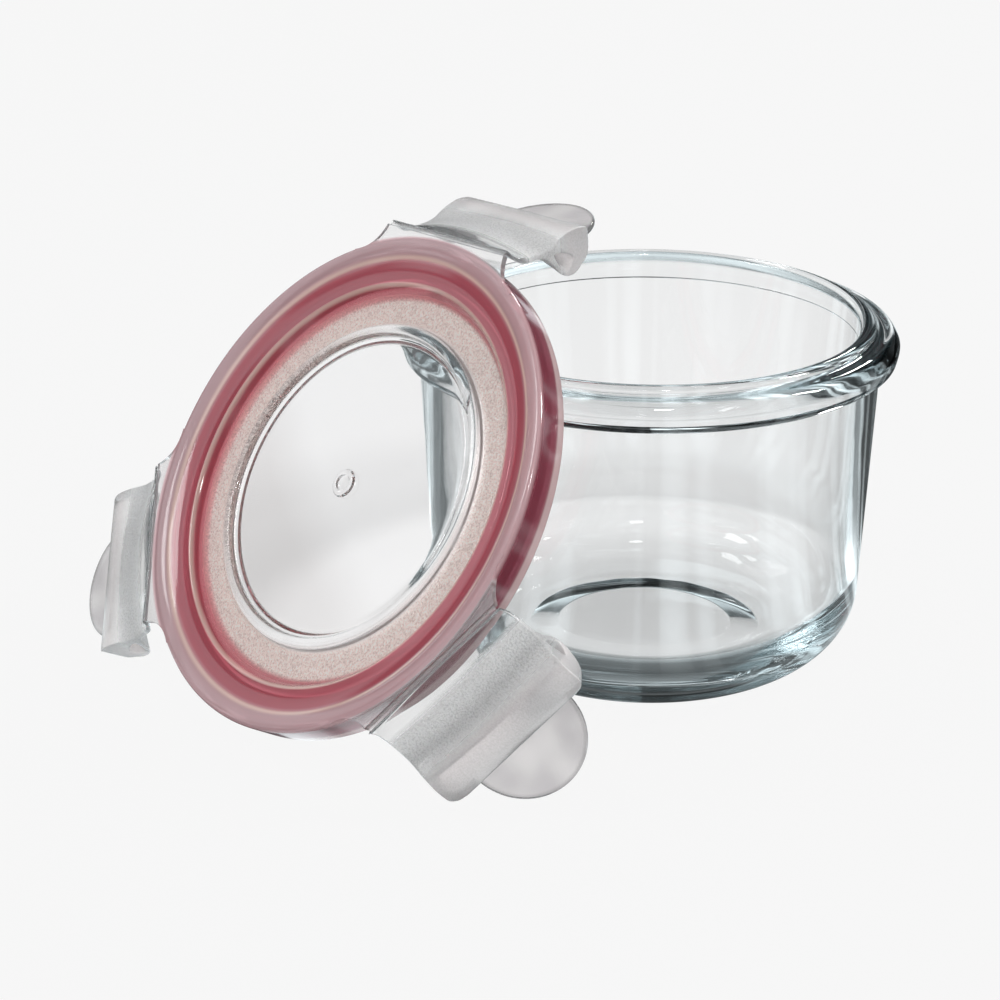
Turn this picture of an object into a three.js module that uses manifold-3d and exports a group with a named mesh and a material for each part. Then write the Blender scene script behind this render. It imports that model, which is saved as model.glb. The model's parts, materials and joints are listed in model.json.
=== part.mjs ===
// Round glass storage container with a clip-on lid that leans against the bowl.
// Millimetres, +Z up. Origin: centre of the bowl's base, on the surface it stands on.
import * as THREE from 'three';
import { mergeVertices } from 'three/addons/utils/BufferGeometryUtils.js';
import Module from 'manifold-3d';

const wasm = await Module();
wasm.setup();

// ---- driving dimensions ----

// bowl
const BOWL_HEIGHT = 76.5;
const NECK_RADIUS = 47.9;
const RIM_ROUNDING = 1.6;
const GLASS_WALL = 3.3;
const GLASS_FLOOR = 8;
const BEAD_RADIUS = 53;
const BEAD_SECTION = 3.2;
const BEAD_MID_HEIGHT = 71.5;
const WALL_RADIUS_TOP = 49.2;
const WALL_RADIUS_LOW = 46.6;
const CORNER_WIDTH = 18.5;
const CORNER_HEIGHT = 16.5;
const INNER_CORNER_WIDTH = 13;
const INNER_CORNER_HEIGHT = 13;
const BASE_PAD_RADIUS = 10;
const BASE_DISH_RADIUS = 25.4;
const BASE_DISH_DEPTH = 2.2;
const BASE_DISH_EDGE = 1;

// lid, in its own frame: r from its axis, h along it, h = 0 at the top of the rim
const LID_RADIUS = 53.5;
const SKIRT_DEPTH = 8.3;
const SKIRT_WALL = 1.6;
const WINDOW_RADIUS = 32.6;
const WINDOW_EDGE_H = -3.7;
const WINDOW_DOME = 1.2;
const WINDOW_THICKNESS = 1.3;
const GATE_RADIUS = 2.8;
const GATE_HEIGHT = 0.35;
// underside from the window's edge out to the seal channel
const LID_UNDERSIDE = [
  [32.2, -5.8],
  [36, -6.1],
  [42.6, -6.4],
  [43.5, -5.9],
  [44.5, -3.8],
  [46.5, -3.4],
  [49.5, -2.7],
];
// top from the rim in: shallow groove, recess wall, grained floor, raised lip round the window
const LID_TOP = [
  [50.4, -0.35],
  [49.1, -1.15],
  [46.4, -1.95],
  [43.8, -1.75],
  [43.2, -2.3],
  [42.1, -4.4],
  [41, -5],
  [36.2, -4.7],
  [35.6, -4.2],
  [35.3, -2.9],
  [34.3, -2.6],
  [33.2, -2.8],
];

// seal ring in the channel under the lid's rim
const SEAL_INNER_RADIUS = 45.2;
const SEAL_OUTER_RADIUS = 51.45;
const SEAL_TOP_H = -3;
const SEAL_BOTTOM_H = -5.75;

// hinges and latches
const LATCH_COUNT = 3;
const HINGE_RADIUS = 54.7;
const HINGE_H = -0.8;
const HINGE_GAP = 0.55;
const FILM_RADIUS = 0.25;
const FLANGE_THICKNESS = 1.25;
const FLANGE_TOP_H = -0.15;
const FLANGE_BLEND_ANGLE = 28;
const LATCH_HALF_WIDTH = 18.5;
const LATCH_LENGTH = 23.9;
const LATCH_CORNER = 3.4;
const TAB_RADIUS = 13;
const TAB_CENTRE_U = 23.4;
const TAB_ROOT_U = 21.4;
const TAB_ROOT_V = -4.8;
const TAB_THICKNESS = 1.2;
const TAB_TILT = 7;

// how the lid leans: centre, tilt of its axis from vertical, compass direction, turn about its axis
const LID_CENTRE = [-63.5, -41, 53];
const LID_TILT = 55.4;
const LID_AZIMUTH = 222.6;
const LID_SPIN = 182.9;
const LATCH_FOLDS = { top: 51.3, left: 17, right: 55.5 };

const LATHE_SEGMENTS = 56;

// ---- materials ----

const glass = new THREE.MeshStandardMaterial({ color: 0xdfe9ea, roughness: 0.03, metalness: 0 });
const lidPlastic = new THREE.MeshStandardMaterial({ color: 0xe6dcdc, roughness: 0.2, metalness: 0 });
const latchPlastic = new THREE.MeshStandardMaterial({ color: 0xdcdedf, roughness: 0.35, metalness: 0 });
const silicone = new THREE.MeshStandardMaterial({ color: 0xb04452, roughness: 0.5, metalness: 0 });

// ---- helpers ----

const radians = THREE.MathUtils.degToRad;

// points of an elliptical arc, angles in degrees
function arc(centreX, centreY, radiusX, radiusY, from, to, steps) {
  const points = [];
  for (let i = 0; i <= steps; i += 1) {
    const angle = radians(from + ((to - from) * i) / steps);
    points.push([centreX + radiusX * Math.cos(angle), centreY + radiusY * Math.sin(angle)]);
  }
  return points;
}

// a profile of [radius, height] pairs turned about Z
function revolve(profile, segments = LATHE_SEGMENTS) {
  const points = profile.map(([radius, height]) => new THREE.Vector2(radius, height));
  return new THREE.LatheGeometry(points, segments).rotateX(Math.PI / 2);
}

// a closed mesh as a solid for joining and cutting
function solidOf(geometry) {
  const bare = geometry.clone();
  bare.deleteAttribute('normal');
  bare.deleteAttribute('uv');
  const merged = mergeVertices(bare, 1e-4);
  const index = merged.index.array;
  const faces = [];
  for (let i = 0; i < index.length; i += 3) {
    const [a, b, c] = [index[i], index[i + 1], index[i + 2]];
    if (a !== b && b !== c && c !== a) faces.push(a, b, c);
  }
  const vertProperties = new Float32Array(merged.attributes.position.array);
  return new wasm.Manifold(new wasm.Mesh({ numProp: 3, vertProperties, triVerts: new Uint32Array(faces) }));
}

function geometryOf(solid) {
  const mesh = solid.getMesh();
  const geometry = new THREE.BufferGeometry();
  geometry.setAttribute('position', new THREE.BufferAttribute(mesh.vertProperties, 3));
  geometry.setIndex(new THREE.BufferAttribute(mesh.triVerts, 1));
  geometry.computeVertexNormals();
  return geometry;
}

function named(name, geometry, material) {
  const mesh = new THREE.Mesh(geometry, material);
  mesh.name = name;
  return mesh;
}

// ---- bowl ----

// one closed profile from the middle of the base, up the outside, over the rim and down the inside
function bowlProfile() {
  const footRadius = WALL_RADIUS_LOW - CORNER_WIDTH;
  const beadCentre = BEAD_RADIUS - BEAD_SECTION;
  const rimCentre = NECK_RADIUS - RIM_ROUNDING;
  const rimTop = BOWL_HEIGHT - RIM_ROUNDING;
  const innerLow = WALL_RADIUS_LOW - GLASS_WALL;
  const rimInner = NECK_RADIUS - GLASS_WALL;
  const innerCornerTop = GLASS_FLOOR + INNER_CORNER_HEIGHT;
  return [
    [0, 0],
    [BASE_PAD_RADIUS, 0],
    [BASE_DISH_RADIUS - BASE_DISH_EDGE, BASE_DISH_DEPTH],
    [BASE_DISH_RADIUS, 0],
    ...arc(footRadius, CORNER_HEIGHT, CORNER_WIDTH, CORNER_HEIGHT, -90, 0, 6),
    [WALL_RADIUS_TOP, BEAD_MID_HEIGHT - BEAD_SECTION - 0.8],
    ...arc(beadCentre, BEAD_MID_HEIGHT, BEAD_SECTION, BEAD_SECTION, -90, 90, 6),
    [NECK_RADIUS, BEAD_MID_HEIGHT + BEAD_SECTION - 0.4],
    ...arc(rimCentre, rimTop, RIM_ROUNDING, RIM_ROUNDING, 0, 180, 6),
    [rimInner, rimTop],
    ...arc(innerLow - INNER_CORNER_WIDTH, innerCornerTop, INNER_CORNER_WIDTH, INNER_CORNER_HEIGHT, 0, -90, 5),
    [0, GLASS_FLOOR],
  ];
}

// ---- lid ----

// window surface height at a radius: a shallow dome
function windowH(radius) {
  return WINDOW_EDGE_H + WINDOW_DOME * (1 - (radius / WINDOW_RADIUS) ** 2);
}

// one closed profile from the middle of the window, out over the top, down the skirt and back below
function lidProfile() {
  const skirtInner = LID_RADIUS - SKIRT_WALL;
  const gateTop = windowH(0) + GATE_HEIGHT;
  const underWindow = (radius) => [radius, windowH(radius) - WINDOW_THICKNESS];
  const overWindow = (radius) => [radius, windowH(radius)];
  return [
    underWindow(0),
    underWindow(16),
    underWindow(31),
    ...LID_UNDERSIDE,
    [skirtInner - 0.4, -2.6],
    [skirtInner, -3.1],
    [skirtInner - 0.15, -SKIRT_DEPTH + 0.4],
    [skirtInner + 0.2, -SKIRT_DEPTH],
    [LID_RADIUS - 0.75, -SKIRT_DEPTH],
    [LID_RADIUS - 0.5, -SKIRT_DEPTH + 0.4],
    [LID_RADIUS, -0.9],
    [LID_RADIUS - 0.3, -0.25],
    [LID_RADIUS - 1.2, 0],
    ...LID_TOP,
    overWindow(WINDOW_RADIUS),
    overWindow(22),
    overWindow(11),
    [GATE_RADIUS + 0.2, windowH(GATE_RADIUS)],
    [GATE_RADIUS, gateTop],
    [0, gateTop - 0.2],
  ];
}

// flat ear outside the skirt that carries one hinge, between the skirt and a straight chord
function hingeFlange() {
  const inner = LID_RADIUS - 0.7;
  const outer = HINGE_RADIUS - HINGE_GAP;
  const halfWidth = LATCH_HALF_WIDTH;
  const blendAngle = radians(FLANGE_BLEND_ANGLE);
  const blend = [inner * Math.cos(blendAngle), inner * Math.sin(blendAngle)];
  const shape = new THREE.Shape();
  shape.moveTo(outer, -halfWidth);
  shape.lineTo(outer, halfWidth);
  shape.quadraticCurveTo(blend[0] + 2.2, halfWidth + 0.8, blend[0] + 0.6, blend[1] + 0.3);
  shape.lineTo(blend[0], blend[1]);
  shape.absarc(0, 0, inner, blendAngle, -blendAngle, true);
  shape.lineTo(blend[0] + 0.6, -blend[1] - 0.3);
  shape.quadraticCurveTo(blend[0] + 2.2, -halfWidth - 0.8, outer, -halfWidth);
  const depth = FLANGE_THICKNESS;
  const flange = new THREE.ExtrudeGeometry(shape, { depth, bevelEnabled: false, curveSegments: 8 });
  return flange.translate(0, 0, FLANGE_TOP_H - FLANGE_THICKNESS);
}

function lidGeometry() {
  let solid = solidOf(revolve(lidProfile()));
  for (let i = 0; i < LATCH_COUNT; i += 1) {
    const flange = hingeFlange().rotateZ((i * 2 * Math.PI) / LATCH_COUNT);
    solid = solid.add(solidOf(flange));
  }
  return geometryOf(solid);
}

// ---- seal ----

function sealProfile() {
  const closing = [SEAL_INNER_RADIUS, -4.1];
  return [
    closing,
    [SEAL_INNER_RADIUS, SEAL_BOTTOM_H + 0.35],
    [46, SEAL_BOTTOM_H],
    [49, SEAL_BOTTOM_H + 0.05],
    [SEAL_OUTER_RADIUS - 0.45, SEAL_BOTTOM_H + 0.15],
    [SEAL_OUTER_RADIUS - 0.1, SEAL_BOTTOM_H + 0.45],
    [SEAL_OUTER_RADIUS, SEAL_TOP_H - 0.4],
    [SEAL_OUTER_RADIUS - 0.15, SEAL_TOP_H],
    [49.6, SEAL_TOP_H - 0.05],
    [46.4, SEAL_TOP_H - 0.75],
    closing,
  ];
}

// ---- latch ----

// Section of a latch as [u, v at the ends, v in the middle]: u runs from the hinge along the plate and
// v points outward. The plate is crowned and the hook is hollowed, so both follow the round bowl.
const LATCH_SECTION = [
  [HINGE_GAP, 0.45, 0.45],
  [1.8, -1, 0.4],
  [3.6, -2, 0.35],
  [7.3, -2.4, 0.3],
  [10.9, -2.1, 0.1],
  [14.3, -0.6, 0.15],
  [17.4, 0.35, 0.55],
  [19.8, 0.4, 0.45],
  [21.8, -0.1, 0],
  [23.4, -1.4, -1.3],
  [LATCH_LENGTH, -3, -2.8],
  [22.4, -5.4, -4],
  [20, -7.7, -4.9],
  [18, -9.1, -5.4],
  [15.6, -9.1, -5.4],
  [13.4, -7.7, -4.2],
  [11.6, -5.4, -2.3],
  [8.8, -3.6, -0.95],
  [4.5, -3.4, -0.9],
  [2.2, -2.2, -0.75],
  [HINGE_GAP, -0.35, -0.35],
];
const HOOK_HOLLOW = [
  [12.8, -3.6, -1.9],
  [17.6, -5.2, -2.5],
  [15.9, -8, -4.4],
  [13.9, -6.5, -3.5],
];
const LATCH_STATIONS = 8;

// a section swept across the latch: local x is u, local y is across, local z is v
function crownedSweep(clockwiseSection, halfWidth) {
  const section = [...clockwiseSection].reverse();
  const corner = section.length;
  const rings = [];
  for (let i = 0; i <= LATCH_STATIONS; i += 1) {
    const across = halfWidth * ((2 * i) / LATCH_STATIONS - 1);
    const share = Math.min(1, (across / LATCH_HALF_WIDTH) ** 2);
    for (const [u, vEnd, vMiddle] of section) {
      rings.push(u, across, vMiddle + (vEnd - vMiddle) * share);
    }
  }
  const outline = section.map(([u, vEnd]) => new THREE.Vector2(u, vEnd));
  const cap = THREE.ShapeUtils.triangulateShape(outline, []);
  const last = corner * LATCH_STATIONS;
  const index = [];
  for (const [a, b, c] of cap) {
    index.push(a, b, c);
    index.push(last + c, last + b, last + a);
  }
  for (let i = 0; i < LATCH_STATIONS; i += 1) {
    for (let j = 0; j < corner; j += 1) {
      const next = (j + 1) % corner;
      const [a, b] = [i * corner + j, i * corner + next];
      index.push(a, a + corner, b);
      index.push(b, a + corner, b + corner);
    }
  }
  const geometry = new THREE.BufferGeometry();
  geometry.setAttribute('position', new THREE.Float32BufferAttribute(rings, 3));
  geometry.setIndex(index);
  return geometry;
}

// prism that rounds the latch's two outer corners in plan
function cornerTrim() {
  const [near, far, half, corner] = [-1, LATCH_LENGTH + 1, LATCH_HALF_WIDTH, LATCH_CORNER];
  const shape = new THREE.Shape();
  shape.moveTo(near, -half - 1);
  shape.lineTo(far - 1 - corner, -half - 1);
  shape.lineTo(far - 1 - corner, -half);
  shape.absarc(far - 1 - corner, -half + corner, corner, -Math.PI / 2, 0, false);
  shape.absarc(far - 1 - corner, half - corner, corner, 0, Math.PI / 2, false);
  shape.lineTo(far - 1 - corner, half + 1);
  shape.lineTo(near, half + 1);
  const depth = 14;
  const prism = new THREE.ExtrudeGeometry(shape, { depth, bevelEnabled: false, curveSegments: 5 });
  return prism.translate(0, 0, -12);
}

// half-round finger tab that grows from the hook's outer wall
function tabGeometry() {
  const shape = new THREE.Shape();
  const centre = TAB_CENTRE_U - TAB_ROOT_U;
  shape.moveTo(0, -TAB_RADIUS);
  shape.lineTo(centre, -TAB_RADIUS);
  shape.absarc(centre, 0, TAB_RADIUS, -Math.PI / 2, Math.PI / 2, false);
  shape.lineTo(0, TAB_RADIUS);
  const tab = new THREE.ExtrudeGeometry(shape, { depth: TAB_THICKNESS, bevelEnabled: false, curveSegments: 20 });
  tab.translate(0, 0, -TAB_THICKNESS / 2);
  tab.rotateY(-radians(TAB_TILT));
  return tab.translate(TAB_ROOT_U, 0, TAB_ROOT_V);
}

function latchGeometry() {
  const body = solidOf(crownedSweep(LATCH_SECTION, LATCH_HALF_WIDTH));
  const hollow = solidOf(crownedSweep(HOOK_HOLLOW, LATCH_HALF_WIDTH + 1));
  const trimmed = body.subtract(hollow).intersect(solidOf(cornerTrim()));
  return geometryOf(trimmed.add(solidOf(tabGeometry())));
}

// a latch swung to its fold, and its hinge film on the hinge's axis
function addLatch(lidFrame, place, bearing, fold) {
  const hinge = new THREE.Group();
  hinge.rotation.z = bearing;
  const seat = new THREE.Group();
  seat.position.set(HINGE_RADIUS, 0, HINGE_H);
  const latch = named(`latch_${place}`, latchGeometry(), latchPlastic);
  latch.rotation.y = radians(fold);
  const rod = new THREE.CylinderGeometry(FILM_RADIUS, FILM_RADIUS, 2 * LATCH_HALF_WIDTH - 1, 8);
  const film = named(`hinge_film_${place}`, rod, lidPlastic);
  seat.add(latch, film);
  hinge.add(seat);
  lidFrame.add(hinge);
}

// ---- assembly ----

const group = new THREE.Group();
group.add(named('bowl', revolve(bowlProfile()), glass));

const leaning = new THREE.Group();
leaning.position.set(...LID_CENTRE);
leaning.rotation.set(0, radians(LID_TILT), radians(LID_AZIMUTH), 'ZYX');
group.add(leaning);

const lidFrame = new THREE.Group();
lidFrame.rotation.z = radians(LID_SPIN);
leaning.add(lidFrame);
lidFrame.add(named('lid', lidGeometry(), lidPlastic));
lidFrame.add(named('seal', revolve(sealProfile(), 48), silicone));

Object.entries(LATCH_FOLDS).forEach(([place, fold], i) => {
  addLatch(lidFrame, place, (i * 2 * Math.PI) / LATCH_COUNT, fold);
});

export default group;
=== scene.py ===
"""Looks of a round glass storage container whose clip-on lid leans against the bowl.

Profiles are in millimetres, like the CAD dimensions they follow, and become metres when a mesh is made.
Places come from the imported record: the lift joint gives the lid's axis and the three hinge joints its centre.
"""

import json
import math

import bmesh
import bpy
from mathutils import Matrix, Vector
from mathutils.geometry import tessellate_polygon


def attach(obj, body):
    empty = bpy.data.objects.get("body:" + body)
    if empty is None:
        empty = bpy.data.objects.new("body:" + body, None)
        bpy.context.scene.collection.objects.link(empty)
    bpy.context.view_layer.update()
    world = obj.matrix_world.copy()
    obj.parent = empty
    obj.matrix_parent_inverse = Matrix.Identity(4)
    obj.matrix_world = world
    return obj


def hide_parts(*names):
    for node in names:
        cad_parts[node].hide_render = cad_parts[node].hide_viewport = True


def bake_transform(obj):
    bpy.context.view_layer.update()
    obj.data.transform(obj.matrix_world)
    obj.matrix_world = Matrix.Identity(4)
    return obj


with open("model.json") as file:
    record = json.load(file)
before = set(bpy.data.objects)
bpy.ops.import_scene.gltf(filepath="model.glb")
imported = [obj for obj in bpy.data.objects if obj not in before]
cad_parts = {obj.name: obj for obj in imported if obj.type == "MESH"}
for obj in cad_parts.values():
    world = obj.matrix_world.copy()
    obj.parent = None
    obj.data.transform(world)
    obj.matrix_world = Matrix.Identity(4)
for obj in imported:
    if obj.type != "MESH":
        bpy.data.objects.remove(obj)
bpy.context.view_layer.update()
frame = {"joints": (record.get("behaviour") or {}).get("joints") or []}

MM = 0.001

# ---- dimensions, mm ----

# bowl
BOWL_HEIGHT = 76.5
NECK_RADIUS = 47.9
RIM_ROUNDING = 1.6
GLASS_WALL = 3.3
GLASS_FLOOR = 8
BEAD_RADIUS = 53
BEAD_SECTION = 3.2
BEAD_MID_HEIGHT = 71.5
BEAD_JUNCTION = 0.3
WALL_RADIUS_TOP = 49.2
WALL_RADIUS_LOW = 46.6
CORNER_WIDTH = 18.5
CORNER_HEIGHT = 16.5
INNER_CORNER_WIDTH = 13
INNER_CORNER_HEIGHT = 13

# the recess under the base, with a gentler edge than in the CAD and without its pad
BASE_DISH_RADIUS = 25.4
BASE_DISH_DEPTH = 1.6
BASE_DISH_EDGE = 6.5

# lid, in its own frame: r from its axis, h along it
LID_RADIUS = 53.5
SKIRT_DEPTH = 8.3
SKIRT_WALL = 1.6
WINDOW_RADIUS = 32.6
WINDOW_EDGE_H = -3.7
WINDOW_DOME = 1.2
WINDOW_THICKNESS = 1.3
GATE_RADIUS = 2.8
GATE_HEIGHT = 0.5

# seal
SEAL_INNER_RADIUS = 45.2
SEAL_OUTER_RADIUS = 51.45
SEAL_TOP_H = -3
SEAL_BOTTOM_H = -5.75

# hinges and latches
HINGE_RADIUS = 54.7
HINGE_H = -0.8
HINGE_GAP = 0.55
FILM_THICKNESS = 0.3
FILM_INSET = 0.5
FILM_OVERLAP = 0.12
FILM_SEAT_H = 0.1
FILM_MIDDLE_H = 0.12
FILM_LATCH_H = 0.05
FLANGE_THICKNESS = 1.25
FLANGE_TOP_H = -0.15
FLANGE_BLEND_ANGLE = 28
LATCH_HALF_WIDTH = 18.5
LATCH_LENGTH = 23.9
LATCH_CORNER = 3.4
LATCH_END_ROUNDING = 0.3
TAB_RADIUS = 13
TAB_CENTRE_U = 23.4
TAB_ROOT_U = 21.4
TAB_ROOT_V = -4.8
TAB_THICKNESS = 1.2
TAB_TILT = 7

# latch section as [u, v at the ends, v in the middle]: from the hinge along the plate, round the hook, back
LATCH_SECTION = [
    [HINGE_GAP, 0.45, 0.45],
    [1.8, -1, 0.4],
    [3.6, -2, 0.35],
    [7.3, -2.4, 0.3],
    [10.9, -2.1, 0.1],
    [14.3, -0.6, 0.15],
    [17.4, 0.35, 0.55],
    [19.8, 0.4, 0.45],
    [21.8, -0.1, 0],
    [23.4, -1.4, -1.3],
    [LATCH_LENGTH, -3, -2.8],
    [22.4, -5.4, -4],
    [20, -7.7, -4.9],
    [18, -9.1, -5.4],
    [15.6, -9.1, -5.4],
    [13.4, -7.7, -4.2],
    [11.6, -5.4, -2.3],
    [8.8, -3.6, -0.95],
    [4.5, -3.4, -0.9],
    [2.2, -2.2, -0.75],
    [HINGE_GAP, -0.35, -0.35],
]
HOOK_HOLLOW = [
    [12.8, -3.6, -1.9],
    [17.6, -5.2, -2.5],
    [15.9, -8, -4.4],
    [13.9, -6.5, -3.5],
]

# how strongly each material bends light
GLASS_IOR = 1.47
PLASTIC_IOR = 1.49
SILICONE_IOR = 1.41

# glass: the colour that its depth adds, and how strongly, per metre
GLASS_TINT = (0.34, 0.45, 0.48)
GLASS_TINT_DENSITY = 11.5

# how far the ramps over the lid's radius and the latches' length run, mm
LID_REACH = 60
LATCH_REACH = 40

# lid colours: the plastic is clear; the seal's red, as seen through it, is painted into its colour over the seal,
# round its rim, on the skirt and on the recess wall where no seal lies behind, and two edges carry painted
# highlight lines
LID_CLEAR = (0.91, 0.895, 0.895)
LID_FROSTED = (0.99, 0.84, 0.79)
LID_MAUVE = (0.69, 0.46, 0.485)
LID_CRIMSON = (0.58, 0.14, 0.18)
# a painted highlight colour, for the lines along the groove's two edges
LID_EDGE_HIGHLIGHT = (1, 0.74, 0.66)
LID_LIP = (0.6, 0.46, 0.45)
LID_BAND = (0.24, 0.05, 0.075)
LID_STEP = (0.76, 0.42, 0.41)
LID_SHOULDER = (0.66, 0.3, 0.34)

# the lid by radius, and its skirt by height: colour, where a zone is, how clear and how rough
# the two bands at 43.5 to 43.9 mm and 49.2 to 49.5 mm are painted highlight lines along the groove's edges
LID_COLOUR = [
    (0, LID_CLEAR), (34.6, LID_CLEAR), (36, LID_FROSTED), (41, LID_FROSTED), (41.7, LID_STEP),
    (42.3, LID_CRIMSON), (43.1, LID_CRIMSON), (43.5, LID_EDGE_HIGHLIGHT), (43.9, LID_EDGE_HIGHLIGHT), (44.3, LID_CRIMSON),
    (48.2, LID_CRIMSON), (48.8, LID_SHOULDER), (49.2, LID_EDGE_HIGHLIGHT), (49.5, LID_EDGE_HIGHLIGHT), (50, LID_MAUVE),
    (53, LID_MAUVE), (54, LID_CLEAR),
]
SKIRT_COLOUR = [(-9, LID_LIP), (-6.4, LID_LIP), (-5.8, LID_BAND), (-1.4, LID_BAND), (-0.5, LID_MAUVE)]
SKIRT_ZONE = [(0, 0), (52.7, 0), (53.1, 1), (53.55, 1), (53.7, 0)]
LID_GRAIN_ZONE = [(0, 0), (35.4, 0), (36.3, 1), (41.6, 1), (42.6, 0)]
LID_CLARITY = [
    (0, 1.0), (34.8, 1.0), (36, 0.5), (41, 0.48), (42.4, 0.6), (43.3, 0.6), (48.8, 0.5), (49.8, 0.5),
    (53.5, 0.45), (54, 0.88),
]
LID_ROUGHNESS = [
    (0, 0.0), (33, 0.01), (36, 0.32), (42, 0.32), (43.2, 0.05), (48.8, 0.05), (49.8, 0.09), (53, 0.09),
    (54, 0.05),
]

# seal colours
SEAL_DEEP = (0.62, 0.03, 0.06)
SEAL_BRIGHT = (0.72, 0.045, 0.085)

# latch colours
LATCH_HOOK = (0.92, 0.88, 0.88)
# the tab's colour wanders at random between these two: painted shade standing in for the dark seen through the
# curved tab
TAB_PALE = (0.95, 0.93, 0.93)
TAB_PAINTED_SHADE_GREY = (0.74, 0.72, 0.73)

# the latches by length from the hinge, and the tab's painted edge shade, darker towards its rim, by distance from
# the tab's centre
LATCH_COLOUR = [(0, 0.95), (4.2, 0.94), (6, 0.95), (15, 0.93), (17, LATCH_HOOK), (23.5, 0.88), (24.4, 0.95)]
LATCH_GRAIN_ZONE = [(0, 0), (4.6, 0), (6.4, 1), (12.8, 1), (15, 0.35), (23.4, 0.3), (24.2, 0)]
LATCH_CLARITY = [(0, 0.95), (4.4, 0.93), (6, 0.6), (15, 0.62), (23.5, 0.65), (24.4, 0.85)]
LATCH_ROUGHNESS = [(0, 0.02), (4.5, 0.03), (6, 0.3), (13.5, 0.3), (15.5, 0.18), (23.5, 0.18), (24.4, 0.05)]
TAB_ZONE = [(0, 0), (23.9, 0), (24.6, 1)]
TAB_EDGE_PAINTED_SHADE = [(0, 1), (TAB_RADIUS - 1.1, 1), (TAB_RADIUS - 0.5, 0.75), (TAB_RADIUS, 0.55)]

# camera, metres, degrees and millimetres of lens
AIM_HEIGHT = 0.04
CAMERA_DISTANCE = 0.6
CAMERA_ELEVATION = 21.395
CAMERA_PITCH = 22.0227
CAMERA_TURN = 3.3066
CAMERA_LENS = 98.748
NEAREST_SEEN = 0.01

# studio: lists are (place, brightness). A floor place is metres from the middle, or in y for CONTACT_FRONT;
# a world place is how far a direction points up, back or right; a STRIPS place is a sum of waves.
SUBJECT = (0, 0, 0.05)
BACKDROP = 0.905
BACKDROP_BY_HEIGHT = [(-1, 0.905), (0.08, 0.905), (0.45, 0.12), (1, 0.1)]
DIFFUSE_LIGHT = 0.63
# the paper's glow seen through the glass, with painted shadow: darker under the bowl and in a ring round it at
# about 95 mm
UNDER_GLASS_PAINTED_SHADOW = [(0, 0.8), (0.05, 0.84), (0.065, 0.94), (0.08, 0.92), (0.095, 0.77), (0.115, 0.82),
               (0.15, 0.92)]
CONTACT_SHADOW = [(0, 1), (0.029, 0.97), (0.0335, 0.4), (0.036, 0.25), (0.039, 0.6), (0.044, 1)]
CONTACT_FRONT = [(-0.1, 1), (-0.028, 1), (-0.008, 0), (0.1, 0)]
FLOOR_SIZE = 6
FLOOR_GAP = 0.0002
PAPER_DIFFUSE = 0.01
PAPER_GLOW = 0.915
# the paper's glow in reflections: painted light fading outwards, with a painted contact shadow ring at 31 to 40.5
# mm
FLOOR_FADE_AND_CONTACT_SHADOW = [(0, 0.6), (0.027, 0.6), (0.031, 0.1), (0.0405, 0.1), (0.044, 0.7), (0.05, 1), (0.085, 1),
              (0.11, 0.5), (0.2, 0.4), (0.26, 0.5), (0.4, 0.4), (0.6, 0.1), (1.5, 0.05)]
LIGHT_BANDS_FROM = [(0.05, 0), (0.09, 1)]
STRIP_COUNTS = (7, 24)
NARROW_SHARE = 0.7
STRIPS = [(-1.7, 0.06), (0.1, 0.2), (0.45, 1.5), (1.7, 2.6)]
PANEL_GLOW = 1.2
PANEL_BY_HEIGHT = [(0, 0), (0.3, 0), (0.36, 1), (0.9, 1), (1, 0.5)]
PANEL_BY_SIDE = [(-1, 1), (-0.6, 1), (-0.35, 0), (1, 0)]
WORLD_BY_HEIGHT = [(0, 0.85), (0.16, 0.8), (0.26, 0.12), (0.55, 0.1), (0.87, 0.05), (0.9, 0.8),
                   (0.93, 0.8), (0.95, 0.03)]
WORLD_BY_DEPTH = [(-1, 0.75), (-0.3, 0.7), (0.1, 0.7), (0.4, 0.85), (1, 0.85)]
COOL = (0.9, 1, 1.03)
# name, place, size and watts
SOFTBOXES = [
    ("softbox_left", (-0.75, -0.2, 0.8), (0.35, 0.35), 2.7),
    ("softbox_back", (0.3, 0.7, 0.55), (0.1, 0.12), 1.5),
    ("softbox_right", (0.75, 0, 0.7), (0.1, 0.3), 5),
    ("softbox_front", (0.12, -0.85, 1), (0.15, 0.11), 2.8),
]

# how often light may bounce
MANY_BOUNCES = 32
TRANSPARENT_BOUNCES = 16

# ---- where the lid and the latches are ----

joints = {joint["name"]: joint for joint in frame["joints"]}
PLACES = [name.split("_")[1] for name in joints if name.endswith("_hinge")]
FULL_FOLD = 90


def hinge(place):
    return joints[f"latch_{place}_hinge"]


lid_normal = Vector(joints["lid_lift"]["axis"]).normalized()
hinge_centre = sum((Vector(hinge(p)["pos_m"]) for p in PLACES), Vector()) / len(PLACES)
lid_centre = hinge_centre - lid_normal * HINGE_H * MM


def frame_matrix(origin, x_axis, y_axis, z_axis):
    """The matrix that takes a point from axes at the origin into the scene."""
    axes = Matrix((x_axis, y_axis, z_axis)).transposed()
    return Matrix.Translation(origin) @ axes.to_4x4()


def hinge_frame(place):
    """Axes at a hinge: x away from the lid's axis, y along the hinge, z out of the lid."""
    joint = hinge(place)
    along = Vector(joint["axis"]).normalized()
    return frame_matrix(Vector(joint["pos_m"]), along.cross(lid_normal), along, lid_normal)


def latch_frame(place):
    """A hinge's axes folded down as its latch is at rest: x along the latch, z out of it."""
    fold = math.radians(FULL_FOLD - hinge(place)["range_deg"][1])
    return hinge_frame(place) @ Matrix.Rotation(fold, 4, "Y")


def lid_frame():
    """The first hinge's axes, moved to the middle of the lid."""
    axes = hinge_frame(PLACES[0])
    axes.translation = lid_centre
    return axes


# ---- curves and meshes ----


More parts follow.
